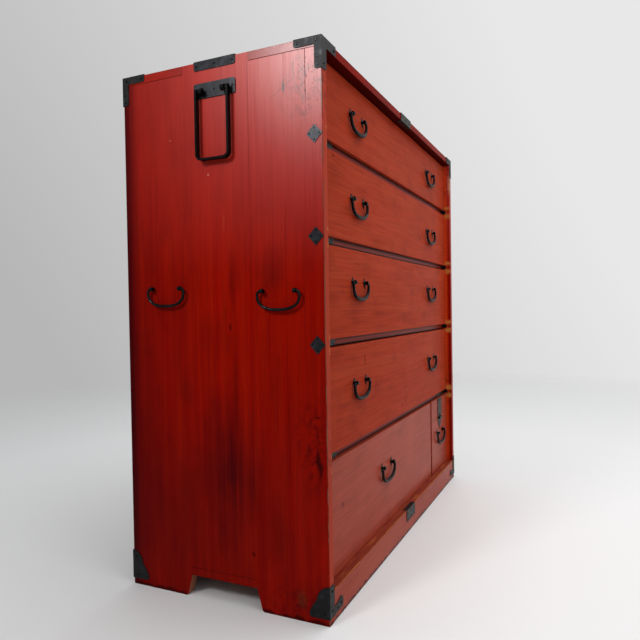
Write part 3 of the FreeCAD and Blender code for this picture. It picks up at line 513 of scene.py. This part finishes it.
def forged_iron(name, dark, pale, pale_share, roughness, relief_mm, rubbed=None, sheen="#FFFFFF"):
    """Blackened iron with a hammered face, cloudy sheen, a little rust and in places a bare, rubbed face.

    A darker sheen dulls what it mirrors at a flat angle.
    """
    material, tree = new_material(name)
    hammered = mottle(tree, (7.0, 7.0, 7.0), 2.0)
    spread = pale_share * 0.3
    cloud = above(tree, mottle(tree, (14.0, 14.0, 14.0), 6.0, 5.0), 0.62 - spread, 0.85 - spread)
    colour = paint(tree, dark, pale, cloud)
    rust = above(tree, mottle(tree, (9.0, 9.0, 9.0), 8.0, 8.0), 0.62, 0.75)
    colour = paint(tree, colour, RUST, both(tree, rust, 0.6))
    if rubbed is not None:
        worn = above(tree, mottle(tree, (9.0, 9.0, 12.0), 5.0, 3.0), 0.30, 0.75)
        colour = paint(tree, colour, RUBBED_IRON, both(tree, rubbed(tree), worn, 0.8))
    gloss = add(tree, "ShaderNodeMapRange", {"Value": cloud, "To Min": roughness,
                                             "To Max": roughness - 0.06})
    close_material(tree, colour, gloss, hammered, relief_mm, Metallic=0.55, Specular_Tint=linear(sheen))
    return material


# Bare softwood of the drawer boxes, dust panels and back, browned by age

STAIN = "#6B4A30"
JOINT_DIRT = "#160D07"
BOARD_SHIFT = (0.93, 0.0, 0.31)


def box_place(tree):
    """Place on a drawer's box, turned on faces that look to the front or back so that their grain is level."""
    place = object_place(tree)
    parts = add(tree, "ShaderNodeSeparateXYZ", {"Vector": place}).outputs
    turned = add(tree, "ShaderNodeCombineXYZ", {0: parts[1], 1: parts[0], 2: parts[2]})
    across = above(tree, sideways(tree, 1), 0.5, 0.6)
    return add(tree, "ShaderNodeMix", {0: across, 4: place, 5: turned}, data_type="VECTOR").outputs[1]


def bare_wood(name, grain, pale, dark, joints=(), placed=object_place):
    """Planed softwood: growth rings, pores and brown stains; boards between level joints differ in figure."""
    material, tree = new_material(name)
    board = 0.0
    for joint in joints:
        passed = above(tree, along(tree, 2), joint, joint + 0.1 * MM)
        board = add(tree, "ShaderNodeMath", {0: board, 1: passed}, operation="ADD")
    place = placed(tree)
    if joints:
        place = add(tree, "ShaderNodeVectorMath", {0: board, 1: BOARD_SHIFT, 2: place},
                    operation="MULTIPLY_ADD")
    figure = mottle(tree, with_grain(grain, 70.0, 700.0), 2.0, 6.0, place)
    rings = add(tree, "ShaderNodeMath", {0: figure, 1: 15.0}, operation="MULTIPLY")
    late_wood = above(tree, add(tree, "ShaderNodeMath", {0: rings}, operation="FRACT"), 0.35, 0.97)
    fine = above(tree, mottle(tree, grain, 5.0, 2.0, place), 0.3, 0.7)
    colour = paint(tree, pale, dark, both(tree, late_wood, 0.6))
    colour = paint(tree, colour, dark, both(tree, fine, 0.45))
    stain = above(tree, mottle(tree, (120.0, 120.0, 120.0), 5.0, 1.0), 0.5, 0.75)
    colour = paint(tree, colour, STAIN, both(tree, stain, 0.5))
    height = fine
    if joints:
        tone = add(tree, "ShaderNodeTexWhiteNoise", {"W": board}, noise_dimensions="1D").outputs["Value"]
        colour = paint(tree, colour, dark, both(tree, tone, 0.45))
        lines = either(tree, [near(tree, {2: joint}, 1.6 * MM) for joint in joints])
        colour = paint(tree, colour, JOINT_DIRT, both(tree, lines, 0.9))
        height = add(tree, "ShaderNodeMath", {0: lines, 1: -3.0, 2: fine}, operation="MULTIPLY_ADD")
    roughness = add(tree, "ShaderNodeMapRange", {"Value": fine, "To Min": 0.62, "To Max": 0.78})
    close_material(tree, colour, roughness, height, 0.15, IOR=1.45)
    return material


def make_materials():
    """Every finish, by the name that the pieces use."""
    back_joints = sorted(low.z for low, _ in solid_boxes("back_boards"))[1:]
    # Vermilion of the sides, deeper red of the top, sun-faded orange of the drawers, paler lowest row and apron
    red = {"deep": "#760601", "body": "#920C02", "bright": "#AB2108", "grain": GRAIN_UP, "gloss": 1.08}
    top_red = {"deep": "#740C03", "body": "#8E1404", "bright": "#A02409", "grain": GRAIN_ACROSS, "gloss": 1.06}
    orange = {"deep": "#973019", "body": "#A8381F", "bright": "#B24A2C", "grain": GRAIN_ACROSS, "gloss": 1.05}
    faded = {"deep": "#943A28", "body": "#A2422F", "bright": "#AC503C", "grain": GRAIN_ACROSS, "gloss": 1.12}
    brown = {"deep": "#6A1810", "body": "#80261A", "bright": "#903628", "grain": GRAIN_ACROSS, "gloss": 1.1}
    # Tints of painted light: a painted highlight on the upper front, painted light on the inner strip before
    # the drawers, and the front edge faces painted redder to stand in for their darker reflection.
    side_tints = ((upper_front, "#C83C32", 0.8), (inner_front, "#D8441A", 0.95), (front_faces, "#A03A24", 0.75))
    side = {**red, "shade": side_shade, "seams": side_board_lines, "scuffs": CORNER_SCUFFS,
            "polish": upper_polish, "tints": side_tints}
    front = {"shade": front_shade, "marks": DRAWER_MARKS}
    return {
        "left side": lacquered_wood("lacquered_side_left", **side, worn=side_wear(LEFT_X),
                                    marks=LEFT_SIDE_MARKS + rail_end_marks(-INNER_RIGHT_X)),
        "right side": lacquered_wood("lacquered_side_right", **side, shift=13.0, worn=side_wear(RIGHT_X),
                                     marks=RIGHT_SIDE_MARKS + rail_end_marks(INNER_RIGHT_X)),
        # The top's finger ends carry a painted highlight, like the upper front of the sides.
        "top": lacquered_wood("lacquered_top", **top_red, shift=21.0, shade=top_shade, worn=top_wear,
                              seams=comb_joint_lines, scuffs=TOP_SCUFFS, polish=upper_polish,
                              tints=((finger_ends, "#B83228", 0.6),)),
        "drawer": lacquered_wood("lacquered_drawer_front", **orange, **front, shift=31.0),
        "low drawer": lacquered_wood("faded_lacquer_drawer_front", **faded, **front, shift=37.0),
        "apron": lacquered_wood("faded_lacquer_apron", **faded, shift=43.0, shade=front_shade, worn=apron_wear,
                                seams=darkened_floor_edge),
        "rail": lacquered_wood("lacquered_rail", **brown, shift=51.0, shade=rail_shade),
        # Forged bars and posts, sheet for the corners, and plates that handling has polished
        "iron": forged_iron("blackened_iron", "#080809", "#1C1D20", 0.3, 0.25, 0.15, sheen="#A0A0A0"),
        "sheet": forged_iron("blackened_sheet_iron", "#0B0C0E", "#1E2024", 0.4, 0.46, 0.08, sheen="#D8D8D8"),
        "pole plate": forged_iron("blackened_iron_pole_plate", "#101115", "#2A2D34", 0.5, 0.34, 0.05),
        "lozenge": forged_iron("polished_iron_lozenge", "#14161A", "#30343C", 0.5, 0.27, 0.03),
        "rubbed sheet": forged_iron("rubbed_sheet_iron", "#0E0F12", "#22242A", 0.5, 0.44, 0.08,
                                    rubbed=front_faces, sheen="#C0C0C0"),
        # Pale paulownia of the drawer boxes, brown cedar of the back and the dust panels
        "box wood": bare_wood("bare_paulownia_box", BOX_GRAIN, "#B48E62", "#8A6238", placed=box_place),
        "back wood": bare_wood("bare_cedar_back", GRAIN_ACROSS, "#94704C", "#583A22", back_joints),
        "panel wood": bare_wood("bare_cedar_dust_panel", GRAIN_ACROSS, "#94704C", "#583A22"),
    }


def dress_nodes(materials):
    """Gives every CAD node its finish."""
    named = {
        "left_side": "left side", "right_side": "right side", "top_board": "top", "base_apron": "apron",
        "bottom_board": "left side", "front_rails": "rail", "drawer_divider": "rail",
        "back_boards": "back wood", "dust_panels": "panel wood", "diamond_plates": "lozenge",
        "pole_handle_plates": "pole plate", "edge_straps": "rubbed sheet", "lock_plate": "rubbed sheet",
    }
    plates = ("top_corner_irons", "foot_corner_irons", "rail_end_irons", "lock_back_plate")
    for node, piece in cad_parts.items():
        finish = named.get(node, "sheet" if node in plates else "iron")
        if node.endswith("_front"):
            finish = "drawer" if node.startswith("drawer") else "low drawer"
        if node.endswith(("_walls", "_bottom")):
            finish = "box wood"
        piece.data.materials.clear()
        piece.data.materials.append(materials[finish])


# Nails that hold the irons

NAIL_HEAD = 4.6
SMALL_NAIL_HEAD = 3.2
NAIL_HEIGHT = 1.3
NAIL_SEED = 7

# Places of nails in mm from a corner of the case: along the side, across the front or back, down from the
# top or up from the floor
CORNER_SIDE_NAILS = ((46, 6.5), (9, 6.5), (6.5, 34), (6.5, 48))
CORNER_FRONT_NAILS = ((51, 8), (9, 44))
CORNER_TOP_NAILS = ((6.5, 45), (52, 6.5))
FOOT_SIDE_NAILS = ((8, 56), (9, 20), (31, 19))
FOOT_FRONT_NAILS = ((9, 58), (9, 24))
FOOT_APRON_NAILS = ((32, 20), (48, 22))
STRAP_NAILS = (-39, 0, 39)
LOCK_NAIL_INSET, LOCK_NAIL_DROP = 4.5, 58.0


def nail_tree(material):
    """Low forged nail heads on points, each turned to its facing direction."""
    tree = bpy.data.node_groups.new("nail_heads", "GeometryNodeTree")
    tree.interface.new_socket("Geometry", in_out="INPUT", socket_type="NodeSocketGeometry")
    for label in ("Head Diameter", "Head Height"):
        tree.interface.new_socket(label, in_out="INPUT", socket_type="NodeSocketFloat")
    tree.interface.new_socket("Seed", in_out="INPUT", socket_type="NodeSocketInt")
    tree.interface.new_socket("Geometry", in_out="OUTPUT", socket_type="NodeSocketGeometry")
    given = add(tree, "NodeGroupInput").outputs
    radius = add(tree, "ShaderNodeMath", {0: given["Head Diameter"], 1: 0.5}, operation="MULTIPLY")
    crown = add(tree, "ShaderNodeMath", {0: radius, 1: 0.55}, operation="MULTIPLY")
    head = add(tree, "GeometryNodeMeshCone", {"Vertices": 10, "Side Segments": 1, "Radius Top": crown,
                                              "Radius Bottom": radius, "Depth": given["Head Height"]})
    facing = add(tree, "GeometryNodeInputNamedAttribute", {"Name": "facing"}, data_type="FLOAT_VECTOR")
    turn = add(tree, "FunctionNodeAlignRotationToVector", {"Vector": facing}, axis="Z")
    size = add(tree, "FunctionNodeRandomValue", {2: 0.85, 3: 1.15, "Seed": given["Seed"]}, data_type="FLOAT")
    heads = add(tree, "GeometryNodeInstanceOnPoints", {"Points": given["Geometry"], "Instance": head,
                                                       "Rotation": turn, "Scale": size.outputs[1]})
    solid = add(tree, "GeometryNodeRealizeInstances", {"Geometry": heads})
    dressed = add(tree, "GeometryNodeSetMaterial", {"Geometry": solid, "Material": material})
    add(tree, "NodeGroupOutput", {"Geometry": dressed})
    return tree


def nails(name, body, places, tree, head=NAIL_HEAD):
    """Nail heads at (place, facing) pairs as one plain mesh that rides on a body."""
    points = bpy.data.meshes.new(name + "_points")
    points.from_pydata([place for place, _ in places], [], [])
    facing = points.attributes.new("facing", "FLOAT_VECTOR", "POINT")
    for index, (_, way) in enumerate(places):
        facing.data[index].vector = way
    source = bpy.data.objects.new(name + "_source", points)
    bpy.context.scene.collection.objects.link(source)
    modifier = source.modifiers.new("heads", "NODES")
    modifier.node_group = tree
    sizes = {"Head Diameter": head * MM, "Head Height": NAIL_HEIGHT * MM, "Seed": NAIL_SEED}
    for item in tree.interface.items_tree:
        if item.in_out == "INPUT" and item.name in sizes:
            modifier[item.identifier] = sizes[item.name]
    graph = bpy.context.evaluated_depsgraph_get()
    made = bpy.data.meshes.new_from_object(source.evaluated_get(graph))
    bpy.data.objects.remove(source)
    piece = bpy.data.objects.new(name, made)
    bpy.context.scene.collection.objects.link(piece)
    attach(piece, body)


def small_nail_places():
    """Small nails: those of the lozenges, rail plates and front straps, and at the ends of the back boards."""
    places = []
    for low, high in solid_boxes("diamond_plates"):
        middle, half = (low + high) / 2, (high - low) / 2
        outward = Vector((1 if middle.x > 0 else -1, 0, 0))
        x = high.x if middle.x > 0 else low.x
        for y, z in ((0.62, 0), (-0.62, 0), (0, 0.62), (0, -0.62)):
            places.append(((x, middle.y + y * half.y, middle.z + z * half.z), outward))
    for low, high in solid_boxes("back_boards"):
        for x in (low.x + 5 * MM, high.x - 5 * MM):
            for share in (0.2, 0.8):
                places.append(((x, high.y, low.z + share * (high.z - low.z)), Vector((0, 1, 0))))
    ahead = Vector((0, -1, 0))
    for low, high in solid_boxes("rail_end_irons"):
        places.append((((low.x + high.x) / 2, low.y, (low.z + high.z) / 2), ahead))
    for low, high in solid_boxes("edge_straps"):
        if high.y < MID_Y:
            for across in (0.12, 0.5, 0.88):
                x = low.x + across * (high.x - low.x)
                heights = (0.5,) if high.z > CASE_TOP else (0.2, 0.7)
                places += [((x, low.y, low.z + share * (high.z - low.z)), ahead) for share in heights]
    return places


def case_nail_places():
    """Every nail in the irons of the case."""
    places = []
    for sign in (-1, 1):
        x_face, x_iron = sign * RIGHT_X, sign * IRON_X
        outward = Vector((sign, 0, 0))
        for y_face, way, front in ((FRONT_Y, 1, True), (BACK_Y, -1, False)):
            ahead = Vector((0, -way, 0))
            y_iron = y_face - way * IRON_SHEET
            for depth, drop in CORNER_SIDE_NAILS:
                places.append(((x_iron, y_face + way * depth * MM, CASE_TOP - drop * MM), outward))
            for across, drop in CORNER_FRONT_NAILS:
                places.append(((x_face - sign * across * MM, y_iron, CASE_TOP - drop * MM), ahead))
            for across, depth in CORNER_TOP_NAILS:
                top = (x_face - sign * across * MM, y_face + way * depth * MM, IRON_TOP)
                places.append((top, Vector((0, 0, 1))))
            for depth, height in FOOT_SIDE_NAILS:
                places.append(((x_iron, y_face + way * depth * MM, height * MM), outward))
            for across, height in FOOT_FRONT_NAILS + (FOOT_APRON_NAILS if front else ()):
                places.append(((x_face - sign * across * MM, y_iron, height * MM), ahead))
        for offset in STRAP_NAILS:
            places.append(((x_iron, MID_Y + offset * MM, CASE_TOP - 8 * MM), outward))
            places.append(((x_face - sign * 9 * MM, MID_Y + offset * MM, IRON_TOP), Vector((0, 0, 1))))
        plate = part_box("pole_handle_plates")
        middle = (plate[0].z + plate[1].z) / 2
        for offset in STRAP_NAILS:
            places.append(((sign * plate[1].x, MID_Y + offset * MM, middle), outward))
    return places


def lock_nail_places():
    """Nails at the corners of the lock plate."""
    low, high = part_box("lock_plate")
    inset = LOCK_NAIL_INSET * MM
    columns, rows = (low.x + inset, high.x - inset), (high.z - inset, high.z - LOCK_NAIL_DROP * MM)
    return [((x, low.y, z), Vector((0, -1, 0))) for x in columns for z in rows]


# Studio: pale floor, soft light and the photograph's camera

SENSOR = 36
FOCAL_PIXELS, PHOTO_PIXELS = 598, 640
LENS = FOCAL_PIXELS / PHOTO_PIXELS * SENSOR
CAMERA_PLACE = (-1.4091, -0.6272, 0.5436)
CAMERA_RIGHT = (0.41806, -0.90831, -0.01588)
CAMERA_UP = (0.02456, -0.00617, 0.99967)
CAMERA_FORWARD = (0.90812, 0.41832, -0.01972)


def add_camera():
    """Camera fitted to the edges of the case in the photograph."""
    data = bpy.data.cameras.new("photo_camera")
    data.sensor_width = SENSOR
    data.lens = LENS
    camera = bpy.data.objects.new("photo_camera", data)
    columns = [Vector(CAMERA_RIGHT), Vector(CAMERA_UP), -Vector(CAMERA_FORWARD)]
    turn = Matrix(columns).transposed().to_4x4()
    camera.matrix_world = Matrix.Translation(CAMERA_PLACE) @ turn
    bpy.context.scene.collection.objects.link(camera)
    bpy.context.scene.camera = camera


def add_lamp(name, place, target, size, power, colour, spread):
    """Soft square lamp that faces a target; a grid before it can narrow its spread in degrees."""
    data = bpy.data.lights.new(name, "AREA")
    data.size = size
    data.energy = power
    data.spread = radians(spread)
    data.color = linear(colour)[:3]
    lamp = bpy.data.objects.new(name, data)
    lamp.location = place
    lamp.rotation_euler = (Vector(target) - Vector(place)).to_track_quat("-Z", "Y").to_euler()
    bpy.context.scene.collection.objects.link(lamp)


WALL_BRIGHT_WAY = (0.35, -0.94, 0.5)
WALL_DIM, WALL_BRIGHT = "#B6B6B6", "#E8E8E8"
WALL_SPAN = (-0.50, 0.42)
FILL_WAY = (0.10, -0.50, 0.86)
FILL_TONE = "#F2F4F6"
FILL_SPAN, FILL_LEVELS = (0.0, 0.95), (0.07, 0.97)
FLOOR_TONE, FLOOR_ROUGHNESS = "#DEDEDE", 0.6
FLOOR_REACH = 14.0
FLOOR_FADE = (1.3, 3.6)
# Name, place, target, size in m, power in W, colour, spread in degrees
LAMPS = (
    ("window", (-2.10, 0.44, 1.73), (-0.35, -0.08, 0.92), 0.45, 6.0, "#FFFFFF", 90),
    ("front_fill", (-1.1, -3.1, 2.2), (0.1, 0.0, 0.5), 2.4, 29.0, "#FFFDF8", 180),
    ("ceiling", (1.1, -1.0, 3.1), (0.6, -1.0, 0.0), 3.0, 62.0, "#FFFFFF", 180),
)


def facing_way(tree, way):
    """How far a direction of the surround is turned to a given way."""
    seen = add(tree, "ShaderNodeTexCoord").outputs["Generated"]
    return add(tree, "ShaderNodeVectorMath", {0: seen, 1: way}, operation="DOT_PRODUCT").outputs["Value"]


def add_surround():
    """Pale wall that the camera and mirroring surfaces see, and a soft fill from above and the front."""
    world = bpy.data.worlds.new("pale_surround")
    world.use_nodes = True
    tree = world.node_tree
    tree.nodes.clear()
    rays = add(tree, "ShaderNodeLightPath").outputs
    seen = either(tree, [rays["Is Camera Ray"], rays["Is Glossy Ray"], rays["Is Transmission Ray"]])
    wall = paint(tree, WALL_DIM, WALL_BRIGHT, above(tree, facing_way(tree, WALL_BRIGHT_WAY), *WALL_SPAN))
    shown = add(tree, "ShaderNodeBackground", {"Color": wall, "Strength": 1.0})
    level = add(tree, "ShaderNodeMapRange", {
        "Value": facing_way(tree, FILL_WAY), "From Min": FILL_SPAN[0], "From Max": FILL_SPAN[1],
        "To Min": FILL_LEVELS[0], "To Max": FILL_LEVELS[1]})
    fill = add(tree, "ShaderNodeBackground", {"Color": linear(FILL_TONE), "Strength": level})
    mixed = add(tree, "ShaderNodeMixShader", {0: seen, 1: fill, 2: shown})
    add(tree, "ShaderNodeOutputWorld", {"Surface": mixed})
    bpy.context.scene.world = world


def add_floor():
    """Floor that fades into the surround."""
    mesh = bpy.data.meshes.new("studio_floor")
    corners = [(x * FLOOR_REACH, y * FLOOR_REACH, 0) for x, y in ((-1, -1), (1, -1), (1, 1), (-1, 1))]
    mesh.from_pydata(corners, [], [(0, 1, 2, 3)])
    floor = bpy.data.objects.new("studio_floor", mesh)
    bpy.context.scene.collection.objects.link(floor)
    material, tree = new_material("pale_floor_paint")
    radius = add(tree, "ShaderNodeVectorMath", {0: object_place(tree)}, operation="LENGTH").outputs["Value"]
    fade = above(tree, radius, *FLOOR_FADE)
    tone = linear(FLOOR_TONE)
    surface = add(tree, "ShaderNodeBsdfPrincipled", {"Base Color": tone, "Roughness": FLOOR_ROUGHNESS})
    clear = add(tree, "ShaderNodeBsdfTransparent")
    mixed = add(tree, "ShaderNodeMixShader", {0: fade, 1: surface, 2: clear})
    add(tree, "ShaderNodeOutputMaterial", {"Surface": mixed})
    mesh.materials.append(material)


materials = make_materials()
dress_nodes(materials)
heads = nail_tree(materials["iron"])
nails("case_nails", "case", case_nail_places(), heads)
nails("small_case_nails", "case", small_nail_places(), heads, SMALL_NAIL_HEAD)
nails("lock_plate_nails", "small_drawer", lock_nail_places(), heads)
add_surround()
add_floor()
for lamp in LAMPS:
    add_lamp(*lamp)
add_camera()
bpy.context.scene.view_settings.view_transform = "Standard"
